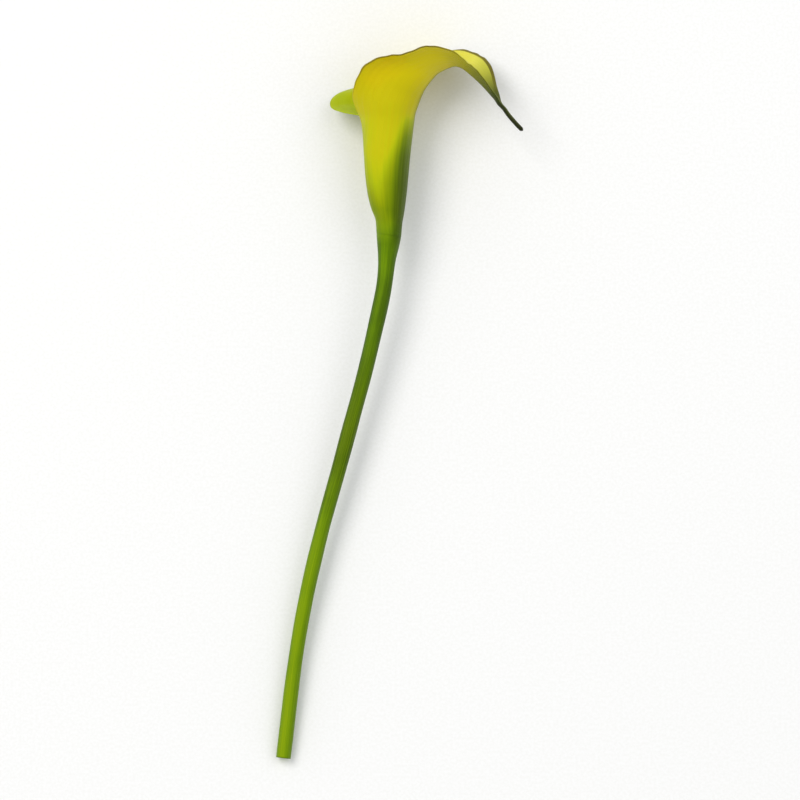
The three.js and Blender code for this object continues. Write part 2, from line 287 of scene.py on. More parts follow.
def grid_numbers():
    """Stations of the rows, crowded at the foot as share^2.2, and shares of the half-width of the columns,
    partly even and partly sin(share of a right angle)^0.8, which crowds them at the margin."""
    foot = FOOT_PART * np.linspace(0, 1, FOOT_ROWS + 1)[:-1] ** FOOT_CROWDING
    place = np.concatenate([foot, np.linspace(FOOT_PART, LAST, BLADE_ROWS - FOOT_ROWS)])
    even = np.linspace(0, 1, HALF_COLUMNS + 1)
    curved = np.sin(np.pi / 2 * even) ** COLUMN_CURVE
    return place, even + CURVED_SHARE * (curved - even)


# %% The middle surface
GROWTH_HEIGHT = 0.18
GROWTH_WAVES = ((1.9, 3.1, 0.0), (2.7, -4.3, 1.0), (4.1, 7.0, 2.0))  # along, across, start
GROWTH_FROM, GROWTH_TO = (0.5, 2.5), (9.0, 10.5)
TUBE_OPENS = (2.7, 3.4)  # stations over which the closed tube comes open
LAP_STRIP = (0.55, 0.75)  # outer part of each half, kept even where the halves lap
HUG_AT_FOOT, HUG_PER_STATION = 0.36, 0.25  # how far the lapping margin closes on the layer under it
HUG_STRIP = (0.72, 1.0)
SHOULDER_AT, SHOULDER_STRIP = (3.3, 3.9, 4.8), (0.35, 0.7)
SHOULDER_SOFT, RELAX_STEPS = 0.9, 90
TAIL_AT = (9.5, 11.0)  # stations over which the blade turns into its tail
TAIL_KINK, TAIL_RATE = 0.2, 7.0  # the tail wanders: mm to each side, and radians per station
TAIL_CROWDING, TAIL_CROWDING_RATE = 1.4, 3.0  # unevenly: radians, and radians per station


def relax_rows(surface, amount):
    """Let each point settle towards the middle of its two neighbours along the sheet, RELAX_STEPS times,
    by its own amount of the way."""
    surface = surface.copy()
    for _ in range(RELAX_STEPS):
        pull = 0.5 * (surface[2:] + surface[:-2]) - surface[1:-1]
        surface[1:-1] += amount[1:-1, :, None] * pull
    return surface


def blade_middle():
    """The sheet's middle surface as it lies, and the along and across numbers of its points: along counts
    stations, and across runs from -1 at the far margin over 0 at the midrib to 1 at the near margin. The
    halves are moved along their normal by the mean of three sine waves, less the hug, and then relaxed."""
    place, part = grid_numbers()
    far = half_sheet(place, part, FAR_COLUMNS, FAR)[:, ::-1]
    near = half_sheet(place, part, NEAR_COLUMNS, NEAR)
    middle = lay_down(np.concatenate([far, near[:, 1:]], 1))
    normal = normals(middle)
    across = np.concatenate([-part[::-1], part[1:]])[None, :] * np.ones((BLADE_ROWS, 1))
    along = place[:, None] * np.ones_like(across)

    closed = 1 - smoothstep(*TUBE_OPENS, along)
    waves = [np.sin(a * along + b * across + start) for a, b, start in GROWTH_WAVES]
    growth = sum(waves) / len(waves) * plateau(along, GROWTH_FROM, GROWTH_TO)
    growth = growth * (1 - closed * smoothstep(*LAP_STRIP, np.abs(across)))
    hug = (HUG_AT_FOOT + HUG_PER_STATION * along) * closed * smoothstep(*HUG_STRIP, across)
    middle = middle + normal * (GROWTH_HEIGHT * growth - hug)[..., None]

    soft = SHOULDER_SOFT * bell(along, *SHOULDER_AT) * smoothstep(*SHOULDER_STRIP, across)
    middle = relax_rows(middle, soft)
    bends = np.sin(TAIL_RATE * along + TAIL_CROWDING * np.sin(TAIL_CROWDING_RATE * along))
    middle[..., 0] += TAIL_KINK * smoothstep(*TAIL_AT, along) * bends
    return middle, along, across


# %% [markdown]
# ## Thickness, ribs and the foot
#
# A real sheet has two faces. Here the middle surface is pushed out both ways by half the wall, and the wall
# thins to nothing over its last millimetre or so, and the two faces meet in a round edge with no seam. Low
# ribs run along the sheet where the main veins lie under the skin: they are real relief on both faces, and
# the finer veins between them are left to the material. Where the far side touches the floor, the soft wall
# is pressed flat. Near the foot the outer face is drawn onto a circle that continues the stalk, so that the
# blade seems to grow out of it.

# %% Wall, floor and foot
WALL_BASE, WALL_MARGIN, WALL_TAIL = 0.85, 0.6, 1.75
EDGE_ROUND = 0.05  # share of the half-width over which the edge rounds off
TAIL_ROUND = 0.9  # the same for the tail, which is a rounded thread
TIP_ROUND = 0.12  # share of a station over which the tail's end rounds off
PRESS_BLEND = 0.7  # depth over which the floor bends a soft wall
MERGE_FROM, MERGE_TO = 2.5, 9.0  # heights between which the round skin turns into the blade
MERGE_LEAN = 0.155  # the midrib leans outward this much; the foot's axis does not
LAPPED_STRIP = (-0.94, -0.84)  # the far margin, which lies under the near one
FLAT_FOOT = 1.5  # below this height the rows straighten into flat rings


def wall_thickness(along, across):
    """Thickness at each point, and its place on the rounded edge, 0 at the margin and 1 where the edge ends.
    The wall thins with across^2, and falls to nothing as a quarter ellipse over the edge and the tip."""
    tail = smoothstep(*TAIL_AT, along)
    wall = WALL_BASE + (WALL_MARGIN - WALL_BASE) * across**2
    wall = wall + (WALL_TAIL - wall) * tail
    edge = np.clip((1 - np.abs(across)) / (EDGE_ROUND + (TAIL_ROUND - EDGE_ROUND) * tail), 0, 1)
    tip = np.clip((LAST - along) / TIP_ROUND, 0, 1)
    return wall * np.sqrt(1 - (1 - edge) ** 2) * np.sqrt(1 - (1 - tip) ** 2), edge


def press(height, ground):
    """Flat at ground level, a parabola over PRESS_BLEND above and below it, and untouched higher up."""
    depth = np.clip(height - ground, -PRESS_BLEND, PRESS_BLEND)
    bent = ground + (depth + PRESS_BLEND) ** 2 / (4 * PRESS_BLEND)
    return np.where(height - ground > PRESS_BLEND, height, bent)


def merge_into_stalk(outer, along, across):
    """In each row near the foot, pull the outer face onto a circle that continues the stalk, fading out up
    to MERGE_TO. The strip of the far half that lies under the near margin keeps its place."""
    point, tangent, into = midrib(along[:, 0])
    height = point[:, 1:2]
    middle = point + (STALK_OFFSET + MERGE_LEAN * height) * into
    centre = lay_down(middle)
    axis = lay_down(middle + tangent) - centre
    arm = outer - centre[:, None]
    out_of_plane = (arm * axis[:, None]).sum(-1, keepdims=True) * axis[:, None]
    radial = arm - out_of_plane
    size = np.maximum(np.linalg.norm(radial, axis=-1), 1e-6)
    pull = smoothstep(*LAPPED_STRIP, across) * (1 - smoothstep(MERGE_FROM, MERGE_TO, height))
    stretch = pull * ((STALK_TOP_RADIUS + STALK_TOP_SLOPE * height) / size - 1)
    flatten = 1 - smoothstep(0, FLAT_FOOT, height)
    return outer + stretch[..., None] * radial - flatten[..., None] * out_of_plane


# %% Two faces of the blade
RIBS_PER_HALF, RIB_HEIGHT, INNER_RIBS = 11, 0.036, 0.6
RIBS_FROM, RIBS_TO = (0.3, 2.0), (8.5, 10.0)
RIBS_OFF_EDGE = 3  # the ribs die away over a third of the rounded edge
KEEL_HEIGHT, KEEL_WIDTH, KEEL_TO = 0.22, 0.05, (5.0, 9.0)
RELIEF_CLEAR = (0.3, 1.2)  # heights over the floor between which the relief returns


def blade_faces():
    """Grids of the outer and the inner face, the along and across numbers of every grid point, and its
    distance from the margin in mm. Ribs are a cosine across the sheet, and the keel is a Gaussian ridge."""
    middle, along, across = blade_middle()
    wall, edge = wall_thickness(along, across)
    middle[..., 2] = press(middle[..., 2], wall / 2)
    normal = normals(middle)

    ribs = RIB_HEIGHT * np.cos(2 * np.pi * RIBS_PER_HALF * across)
    ribs = ribs * np.minimum(edge * RIBS_OFF_EDGE, 1) * plateau(along, RIBS_FROM, RIBS_TO)
    keel = KEEL_HEIGHT * np.exp(-(across / KEEL_WIDTH) ** 2) * (1 - smoothstep(*KEEL_TO, along))
    clear = smoothstep(*RELIEF_CLEAR, middle[..., 2])
    outer = middle + normal * (wall / 2 + (ribs + keel) * clear)[..., None]
    inner = middle - normal * (wall / 2 - INNER_RIBS * ribs * clear)[..., None]

    near_width, far_width = [curve_through(STATIONS[:, columns.start], along)
                             for columns in (NEAR_COLUMNS, FAR_COLUMNS)]
    from_margin = (1 - np.abs(across)) * np.where(across > 0, near_width, far_width)
    return merge_into_stalk(outer, along, across), inner, along, across, from_margin


# %% [markdown]
# ## One closed skin
#
# The two grids become one closed mesh: where the wall has thinned to nothing, at both margins and at the
# tip of the tail, the inner face simply uses the outer face's points. Only the foot, which sits on the
# stalk, needs a narrow band between the two.

# %% Join the faces into the blade
def blade_mesh():
    """Quads over both grids, the inner ones turned round, plus the band at the foot. Points that no face
    uses are left out."""
    outer, inner, along, across, from_margin = blade_faces()
    rows, columns = along.shape
    out = np.arange(rows * columns).reshape(rows, columns)
    inn = out + rows * columns
    inn[:, 0], inn[:, -1], inn[-1] = out[:, 0], out[:, -1], out[-1]
    outer_quads, inner_quads = [
        np.stack([grid[:-1, :-1], grid[1:, :-1], grid[1:, 1:], grid[:-1, 1:]], -1).reshape(-1, 4)
        for grid in (out, inn)
    ]
    band = np.stack([out[0, :-1], out[0, 1:], inn[0, 1:], inn[0, :-1]], -1)
    quads = np.concatenate([outer_quads, inner_quads[:, ::-1], band])

    points = np.concatenate([outer.reshape(-1, 3), inner.reshape(-1, 3)])
    used = np.unique(quads)
    lookup = np.full(len(points), -1)
    lookup[used] = np.arange(len(used))
    faces = [list(dict.fromkeys(face)) for face in lookup[quads].tolist()]
    faces = [face for face in faces if len(face) > 2]
    attributes = {
        "along": np.tile(along.ravel(), 2)[used],
        "across": np.tile(across.ravel(), 2)[used],
        "from_margin": np.tile(from_margin.ravel(), 2)[used],
        "inner": np.repeat([0.0, 1.0], rows * columns)[used],
    }
    return points[used], faces, attributes


blade = make_piece("blade", *blade_mesh())
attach(blade, "root")
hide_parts("spathe")

# %% [markdown]
# ## The stalk
#
# The stalk is a round rod that bends gently, swells into the blade, and has been cut across at its foot. A
# circle carried along a path gives it, and thirty shallow ridges on that circle give the fine lengthwise
# lines that the fibres under the skin make. The last rings turn in at both ends: at the foot over a slightly
# hollow cut face, at the top over the shoulder into the short neck that carries the spadix.

# %% Rings and rods
def rings_at(centre, direction, radius, angle):
    """Circles square to a direction in the plane Z = 0: centre + radius * (cos across + sin up). Each row of
    radius is one number, or one for every angle."""
    direction = np.broadcast_to(direction, centre.shape)
    across = np.stack([direction[:, 1], -direction[:, 0], np.zeros(len(direction))], -1)
    circle = np.cos(angle)[:, None] * across[:, None] + np.sin(angle)[:, None] * np.array([0.0, 0.0, 1.0])
    return centre[:, None] + np.reshape(radius, (len(centre), -1, 1)) * circle


def straight_rings(start, heights, direction, radii, angle):
    """Circles at the given heights over start, along one direction."""
    return rings_at(start + heights[:, None] * direction, direction, radii, angle)


def closed_rod(rings):
    """Quads round and along a stack of rings, with a fan of triangles on a middle point at each end."""
    rows, sides = rings.shape[:2]
    grid = np.arange(rows * sides).reshape(rows, sides)
    turned = np.roll(grid, -1, 1)
    quads = np.stack([grid[:-1], grid[1:], turned[1:], turned[:-1]], -1).reshape(-1, 4)
    first = np.stack([grid[0], turned[0], np.full(sides, rows * sides)], -1)
    last = np.stack([turned[-1], grid[-1], np.full(sides, rows * sides + 1)], -1)
    points = np.concatenate([rings.reshape(-1, 3), rings[:1].mean(1), rings[-1:].mean(1)])
    return points, quads.tolist() + first.tolist() + last.tolist()


# %% Path and radius of the stalk
STEM_ROUTE = np.array([
    [-41.8, -207.9], [-37.3, -170.9], [-32.7, -144.0], [-26.6, -117.8], [-19.6, -92.4],
    [-14.2, -72.4], [-9.6, -55.4], [-5.4, -37.7], [-1.8, -20.8], [-0.3, -6.9],
])
#    distance below the blade, radius
STEM_RADII = np.array([
    [0, 5.0], [2, 4.82], [4, 4.48], [6, 4.08], [8, 3.74], [10, 3.49], [14, 3.25], [20, 3.12], [60, 3.0],
    [150, 2.85], [213, 2.95],
])
ROUTE_POINTS = 4000
STEM_ROWS, STEM_SIDES = 420, 120
ROW_CROWDING = 0.92  # the rows close up a little towards the blade
LAST_GAP = 0.03  # a tight last ring keeps the shading even up to the blade
SWING = 12  # length over which the rings turn to face the blade
SMOOTH_HALF = 12  # rows to each side over which the radius is smoothed
SWELLINGS = ((0.05, 9.0, 0.0), (0.03, 4.1, 1.0))  # height, length per radian, start
SWELL_FADES = (20, 12)  # lengths over which they fade, at the foot and at the blade


def fade_at_ends(distance, fades):
    """0 at both ends of the stalk, rising to 1 over the two given lengths."""
    return smoothstep(0, fades[0], distance) * smoothstep(0, fades[1], distance[-1] - distance)


def stalk_path():
    """Distance of each row from the foot, its middle and its direction. The rows lie at the stalk's length
    times share^0.92, on a smooth path through STEM_ROUTE, and near the blade they turn to face it."""
    route = curve_through(np.vstack([STEM_ROUTE, STALK_TOP[:2]]),
                          np.linspace(0, len(STEM_ROUTE), ROUTE_POINTS))
    length = np.concatenate([[0], np.cumsum(np.linalg.norm(np.diff(route, axis=0), axis=1))])
    distance = length[-1] * np.linspace(0, 1, STEM_ROWS) ** ROW_CROWDING
    distance[-2] = length[-1] - LAST_GAP
    centre = np.stack([np.interp(distance, length, route[:, i]) for i in (0, 1)], -1)
    direction = unit(np.gradient(centre, axis=0))
    swing = smoothstep(length[-1] - SWING, length[-1], distance)[:, None]
    direction = unit(direction * (1 - swing) + foot_tangent[:2] * swing)
    flat = np.zeros((STEM_ROWS, 1))
    return distance, np.hstack([centre, flat]), np.hstack([direction, flat])


def stalk_radius(distance):
    """STEM_RADII read by distance below the blade and smoothed by a Gaussian over the rows, plus slow
    swellings, each height * sin(distance / length + start)."""
    radius = np.interp(distance[-1] - distance, *STEM_RADII.T)
    weights = np.exp(-np.linspace(-2, 2, 2 * SMOOTH_HALF + 1) ** 2)
    padded = np.pad(radius, SMOOTH_HALF, mode="reflect", reflect_type="odd")
    radius = np.convolve(padded, weights / weights.sum(), "valid")
    swell = sum(high * np.sin(distance / long + start) for high, long, start in SWELLINGS)
    return radius + swell * fade_at_ends(distance, SWELL_FADES)


# %% Stalk surface
RIDGES, RIDGE_HEIGHT, RIDGE_FADES = 30, 0.035, (6, 8)
RIDGE_DRIFT, DRIFT_LENGTH = 0.25, 40  # the ridges wander round the stalk: radians, mm per radian
CUT_RADII = np.array([0.35, 0.7, 0.86, 0.94, 0.985])  # rings of the cut face, as shares of the radius
CUT_DEPTHS = np.array([0.28, 0.16, 0.05, 0.0, 0.03])  # and how deep they lie
SHOULDER_RADII = STALK_TOP_RADIUS - np.array([0.015, 0.1, 2.0])
SHOULDER_HEIGHTS = np.array([0.3, 0.35, 0.35])
NECK_RADII = 2.15 * np.array([1.08, 1.0, 0.97, 0.9])
NECK_HEIGHTS = np.array([0.3, 1.2, 3.0, 3.2])
SPADIX_OFFSET = 3.3  # from the midrib to the middle of the spadix
SPADIX_FOOT = foot_point + SPADIX_OFFSET * foot_into
SPADIX_DIRECTION = unit(np.array([-0.02, 1.0, 0.0]))


def stalk_mesh():
    """Rings of radius plus ridge along the path, after those of the cut face and before those of the
    shoulder and the neck. A ridge is a cosine round the stalk, and its start drifts as a sine."""
    distance, centre, direction = stalk_path()
    radius = stalk_radius(distance)
    angle = 2 * np.pi * np.arange(STEM_SIDES) / STEM_SIDES
    drift = RIDGE_DRIFT * np.sin(distance / DRIFT_LENGTH)
    ridges = RIDGE_HEIGHT * np.cos(RIDGES * (angle + drift[:, None]))
    ridges = ridges * fade_at_ends(distance, RIDGE_FADES)[:, None]
    rings = np.concatenate([
        straight_rings(centre[0], CUT_DEPTHS, direction[0], CUT_RADII * radius[0], angle),
        rings_at(centre, direction, radius[:, None] + ridges, angle),
        straight_rings(centre[-1], SHOULDER_HEIGHTS, foot_tangent, SHOULDER_RADII, angle),
        straight_rings(SPADIX_FOOT, NECK_HEIGHTS, SPADIX_DIRECTION, NECK_RADII, angle),
    ])
    points, faces = closed_rod(rings)

    below, above = len(CUT_RADII), len(SHOULDER_RADII) + len(NECK_RADII)
    per_ring = {
        "along": np.concatenate([np.zeros(below), distance / distance[-1], np.ones(above)]),
        "radial": np.concatenate([CUT_RADII, np.ones(STEM_ROWS + above)]),
    }
    attributes = {name: np.append(np.repeat(v, STEM_SIDES), [v[0], v[-1]]) for name, v in per_ring.items()}
    attributes["radial"][-2] = 0  # the point in the middle of the cut
    for name, wave in (("around_cos", np.cos), ("around_sin", np.sin)):
        attributes[name] = np.append(np.tile(wave(angle), len(rings)), [0, 0])
    return lay_down(points), faces, attributes


stalk = make_piece("stalk", *stalk_mesh())
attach(stalk, "root")
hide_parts("stem")

# %% [markdown]
# ## The spadix
#
# The spadix is a finger packed with tiny flowers. The lower ones are ovaries: round green knobs. The upper
# ones are anthers: smaller, golden and closer together. Both could be hundreds of little objects. Here they
# are relief on one skin instead: every point finds the nearest seat of a staggered lattice, and rises by a
# rounded profile of its distance from it, which keeps each zone one body, as it grows.

# %% Relief of small flowers on a rod
SAME_TWIST, NEW_TWIST = 0.5, 0.3  # turn from row to row, in seats, where their number stays or changes
ROW_REACH = 0.75  # how far a floret reaches along the skin, in pitches


def floret_relief(turn, arc, radius, spacing, pitch, seed):
    """Distance from the nearest seat, from 0 at the seat to 1 at the floret's rim, and a steady random
    number for that seat. Seats stand in rows a pitch apart along the skin. A row holds as many as fit round
    it at the given spacing, so rows near the tip hold fewer, and each is turned against the one below it."""
    rows = int(arc.max() / pitch) + 3
    row_radius = np.interp(np.arange(rows) * pitch, arc[:, 0], radius[:, 0])
    count = np.maximum(np.round(2 * np.pi * row_radius / spacing), 1)
    twist = np.where(count == np.roll(count, 1), SAME_TWIST, NEW_TWIST).cumsum() % 1
    random = np.random.default_rng(seed).random((rows, int(count.max()) + 1))
    row = np.round(arc / pitch).astype(int)
    best = np.full(turn.shape, np.inf)
    chance = np.zeros(turn.shape)
    for step in (-1, 0, 1):
        here = np.clip(row + step, 0, rows - 1)
        seat = np.round(turn * count[here] / (2 * np.pi) - twist[here])
        sideways = (turn - 2 * np.pi * (seat + twist[here]) / count[here]) * radius
        distance = np.hypot(2 * sideways / spacing, (arc - here * pitch) / (ROW_REACH * pitch))
        closer = distance < best
        best = np.where(closer, distance, best)
        chance = np.where(closer, random[here, (seat % count[here]).astype(int)], chance)
    return best, chance


# %% Both zones
OUTLINE_POINTS = 4000
END_FADE = 0.3  # the florets sink away over this length at a flat end
POINT_RADIUS = 0.5  # and where the rod closes to less than this radius
CORE_SHARE, LEAST_RADIUS = 0.98, 0.02  # the skin between the florets, and its smallest radius
LEAST_RISE, MORE_RISE = 0.8, 0.4  # a floret rises by 0.8 to 1.2 of the given height


def zone_mesh(low, high, radii, dome, spacing, pitch, bump, sides, rows, seed):
    """A rod from low to high along the spadix axis. Its radius follows radii and closes over dome as a
    quarter ellipse. Rings are evenly spaced along the skin, and each floret lifts it along its normal by
    bump * sqrt(1 - distance^2), a little more or less for each floret."""
    share = np.linspace(0, 1, OUTLINE_POINTS)
    tall = (high - low) * share
    wide = curve_through(radii, (len(radii) - 1) * share)
    if dome:
        near_top = np.clip((tall - (high - low - dome)) / dome, 0, 1)
        wide = wide * np.sqrt(1 - near_top**2)
    length = np.concatenate([[0], np.cumsum(np.hypot(np.diff(tall), np.diff(wide)))])
    arc = np.linspace(0, length[-1], rows)
    height, radius = np.interp(arc, length, tall), np.interp(arc, length, wide)
    out_radius, out_height = unit(np.stack([np.gradient(height, arc), -np.gradient(radius, arc)], -1)).T

    angle = 2 * np.pi * np.arange(sides) / sides
    turn, along_skin = np.meshgrid(angle, arc)
    wide_here = np.repeat(radius[:, None], sides, 1)
    distance, chance = floret_relief(turn, along_skin, wide_here, spacing, pitch, seed)
    rise = np.sqrt(np.clip(1 - distance**2, 0, 1)) * (LEAST_RISE + MORE_RISE * chance)
    from_end = arc if dome else np.minimum(arc, length[-1] - arc)
    fade = np.clip(from_end / END_FADE, 0, 1) * smoothstep(0, POINT_RADIUS, radius)
    lift = bump * rise * fade[:, None]
    grown = np.maximum(CORE_SHARE * radius[:, None] + lift * out_radius[:, None], LEAST_RADIUS)
    rings = straight_rings(SPADIX_FOOT, low + height, SPADIX_DIRECTION, grown, angle)
    rings = rings + (lift * out_height[:, None])[..., None] * SPADIX_DIRECTION
    points, faces = closed_rod(rings)
    attributes = {name: np.append(v.ravel(), [0, 0]) for name, v in (("rise", rise), ("chance", chance))}
    return lay_down(points), faces, attributes


ovaries = make_piece("ovaries", *zone_mesh(
    low=3.3, high=15.05, radii=[2.3, 2.75, 2.85, 2.7], dome=0.0,
    spacing=1.45, pitch=1.15, bump=0.55, sides=192, rows=130, seed=3,
))
anthers = make_piece("anthers", *zone_mesh(
    low=15.15, high=45.6, radii=[2.7, 2.9, 2.65, 2.3], dome=3.0,
    spacing=0.92, pitch=0.76, bump=0.4, sides=266, rows=360, seed=7,
))
for piece, node, finish in ((ovaries, "pistillate_zone", "ovaries"), (anthers, "staminate_zone", "anthers")):
    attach(piece, "root")
    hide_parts(node)

# %% [markdown]
# ## Small helpers for materials
#
# A material is a little graph of nodes. These helpers only shorten the writing: read a number stored on the
# mesh, do arithmetic on it, turn it into a colour, blend two colours, and hand the results to the shader.

# %% Node helpers
def srgb(red, green, blue):
    """A display colour, 0 to 255, as the linear colour that a shader socket wants."""
    c = np.array([red, green, blue]) / 255
    linear = np.where(c <= 0.04045, c / 12.92, ((c + 0.055) / 1.055) ** 2.4)
    return (*linear.tolist(), 1.0)


class Finish:
    """A material being built: its node tree, its Principled shader, and short ways to add nodes."""

    def __init__(self, name):
        """A new material with its usual two nodes."""
        self.material = bpy.data.materials.new(name)
        self.material.use_nodes = True
        self.tree = self.material.node_tree
        self.shader = self.tree.nodes["Principled BSDF"]

    def feed(self, socket, value):
        """Set a socket to a number or colour, or link it to another node's output."""
        if isinstance(value, bpy.types.NodeSocket):
            self.tree.links.new(value, socket)
        else:
            socket.default_value = value

    def add(self, kind, inputs):
        """A new node of a kind, its inputs fed from a dictionary of names or numbers to values."""
        node = self.tree.nodes.new(kind)
        for socket, value in inputs.items():
            self.feed(node.inputs[socket], value)
        return node

    def number(self, name):
        """The number of that name which the mesh keeps for each of its points."""
        node = self.add("ShaderNodeAttribute", {})
        node.attribute_name = name
        return node.outputs["Fac"]

    def place(self):
        """Position on the piece, in metres."""
        return self.add("ShaderNodeTexCoord", {}).outputs["Object"]

    def vector(self, x, y, z):
        """Three numbers as one vector."""
        return self.add("ShaderNodeCombineXYZ", {"X": x, "Y": y, "Z": z}).outputs[0]

    def math(self, operation, *values):
        """One step of arithmetic on one or two values."""
        node = self.add("ShaderNodeMath", dict(enumerate(values)))
        node.operation = operation
        return node.outputs[0]

    def plus(self, a, b):
        """a + b."""
        return self.math("ADD", a, b)

    def minus(self, a, b):
        """a - b."""
        return self.math("SUBTRACT", a, b)

    def times(self, product, *others):
        """All the values multiplied together."""
        for other in others:
            product = self.math("MULTIPLY", product, other)
        return product

    def between(self, value, low, high, to_low=0.0, to_high=1.0):
        """value read from low..high to to_low..to_high, with smooth ends; low may be the larger."""
        names = ("Value", "From Min", "From Max", "To Min", "To Max")
        node = self.add("ShaderNodeMapRange", dict(zip(names, (value, low, high, to_low, to_high))))
        node.interpolation_type = "SMOOTHSTEP"
        return node.outputs["Result"]

    def within(self, value, rise, fall):
        """0, then 1 between two soft steps: one up over the range rise, one down over the range fall."""
        return self.times(self.between(value, *rise), self.between(value, fall[1], fall[0]))

    def ramp(self, value, stops):
        """A colour read from (place, colour) stops."""
        node = self.add("ShaderNodeValToRGB", {"Fac": value})
        ramp = node.color_ramp
        while len(ramp.elements) < len(stops):
            ramp.elements.new(0.5)
        for element, (place, colour) in zip(ramp.elements, stops):
            element.position = place
            element.color = colour
        return node.outputs["Color"]

    def level(self, value, stops):
        """A number read from (place, number) stops."""
        return self.ramp(value, [(place, (number, number, number, 1.0)) for place, number in stops])

    def blend(self, amount, a, b):
        """Colour a where amount is 0, b where it is 1, and a mixture between."""
        node = self.tree.nodes.new("ShaderNodeMix")
        node.data_type = "RGBA"
        for socket, value in ((0, amount), (6, a), (7, b)):
            self.feed(node.inputs[socket], value)
        return node.outputs[2]

    def noise(self, vector, scale, detail, roughness=0.5):
        """Soft random values from 0 to 1, scale patches to each unit of the vector."""
        inputs = {"Vector": vector, "Scale": scale, "Detail": detail, "Roughness": roughness}
        return self.add("ShaderNodeTexNoise", inputs).outputs["Fac"]

    def bump(self, height, distance, strength, under=None):
        """The normal of a skin raised by height * distance metres, on top of another such normal."""
        inputs = {"Strength": strength, "Distance": distance, "Height": height}
        if under is not None:
            inputs["Normal"] = under
        return self.add("ShaderNodeBump", inputs).outputs["Normal"]

    def put_on(self, piece, looks):
        """Feed the shader's sockets from a dictionary, and give the piece this material alone."""
        for name, value in looks.items():
            self.feed(self.shader.inputs[name], value)
        piece.data.materials.clear()
        piece.data.materials.append(self.material)
        print(f"{piece.name} wears {self.material.name}, {len(self.tree.nodes)} nodes")


# %% [markdown]
# ## Green grows into gold
#
# The whole flower is painted with one pigment scale, from the dark green of the keel to the gold of the
# limb. The stalk and the blade both read the same scale, so no line shows where one grows into the other.
# What differs from place to place is a number between 0 (gold) and 1 (green), and a second one that says
# how much of a brighter green, that of young and juicy skin, is mixed in.

# %% The pigment scale
# the dark end of both scales also gives the painted shade on the tube's and the stalk's side away from the
# key light
PIGMENTS = [
    (0.00, srgb(193, 183, 10)), (0.15, srgb(186, 187, 8)), (0.30, srgb(168, 179, 6)),
    (0.50, srgb(146, 158, 2)), (0.70, srgb(117, 137, 0)), (0.85, srgb(93, 115, 0)), (1.00, srgb(66, 86, 0)),
]
FRESH = [(0.60, srgb(78, 142, 4)), (1.00, srgb(54, 100, 2))]
WAX_GLOSS = 0.22
WAX_TINT = (1.0, 0.95, 0.25, 1.0)  # the gloss is a little yellow where it is seen squarely
GLOW_DEPTH = 0.001  # about how far light travels under the skin, in metres


def pigment(f, green, fresh):
    """PIGMENTS read by green, blended by fresh towards FRESH read by the same number."""
    return f.blend(fresh, f.ramp(green, PIGMENTS), f.ramp(green, FRESH))


# %% [markdown]
# ## The blade's finish
#
# The green climbs highest along the keel and sinks away towards the margins, so the number depends on how
# far along the sheet a point is and how far it is from the midrib. Beside the keel, on the tube's side turned
# away from the key light, this green is partly the keel's own and partly painted shade; the extra green near
# the tube's margins is likewise partly painted shade. At the very foot it is the fresh green of the stalk.
# Past the mouth the sheet is all gold, with an olive line along the keel. The free lobe stays a fresh
# yellow-green, the inner face is paler, and the tail is almost black. The margin carries a thin brown line,
# which is faint on the lobe and on the near side of the tail. The skin is waxy, and light passes through the
# thin wall, which a little subsurface scattering gives. Streaks and veins are noise stretched along the
# sheet.

# %% Where the blade is green
#       (share of the length, value): green away from the keel; green beside it, partly the keel's own colour
#           and
#       partly painted shade on the tube's side away from the key light; and the distances from the midrib, as
#       shares of the half-width, where the keel's green ends and within which it is full
CROWN = [(0.0, 0.70), (0.015, 0.63), (0.06, 0.62), (0.117, 0.27), (0.175, 0.06), (0.23, 0.03), (0.29, 0.0)]
FLANK_GREEN_AND_SHADE = [(0.0, 1.0), (0.117, 0.98), (0.175, 0.90), (0.213, 0.70), (0.24, 0.45), (0.275, 0.10), (0.30, 0.0)]
REACH = [(0.0, 0.53), (0.03, 0.46), (0.06, 0.55), (0.117, 0.60), (0.175, 0.49), (0.213, 0.42), (0.29, 0.36)]
FULL = [(0.0, 0.28), (0.03, 0.22), (0.117, 0.21)]
MARGIN_GREEN_AND_SHADE = 0.24  # extra green near the margins of the closed tube, partly their own colour and partly painted shade


def blade_green(f, length, aside):
    """FLANK_GREEN_AND_SHADE near the midrib, CROWN away from it, and a soft step between the distances FULL and REACH, with
    MARGIN_GREEN_AND_SHADE added near the margins of the tube."""
    crown, flank_green_and_shade, reach, full = [f.level(length, stops) for stops in (CROWN, FLANK_GREEN_AND_SHADE, REACH, FULL)]
    # beside the keel the green is partly painted shade on the tube's side away from the key light
    green = f.plus(crown, f.times(f.between(aside, reach, full), f.minus(flank_green_and_shade, crown)))
    # the margins' extra green is partly painted shade at the tube's edges
    in_tube = f.within(length, (0.04, 0.10), (0.2, 0.28))
    return f.plus(green, f.times(f.between(aside, 0.6, 0.85, 0.0, MARGIN_GREEN_AND_SHADE), in_tube))


# %% The brown line along the margin
RIM_FROM, RIM_FULL = 0.85, 0.4  # distances from the margin in mm
RAGGED = 0.15  # how far the line's edge strays
LIMB_WIDER, TAIL_WIDER = 0.42, 0.75  # how much broader it is on the limb, and on the far tail
LOBE_FAINTER, NEAR_TAIL_FAINTER = 0.8, 0.6


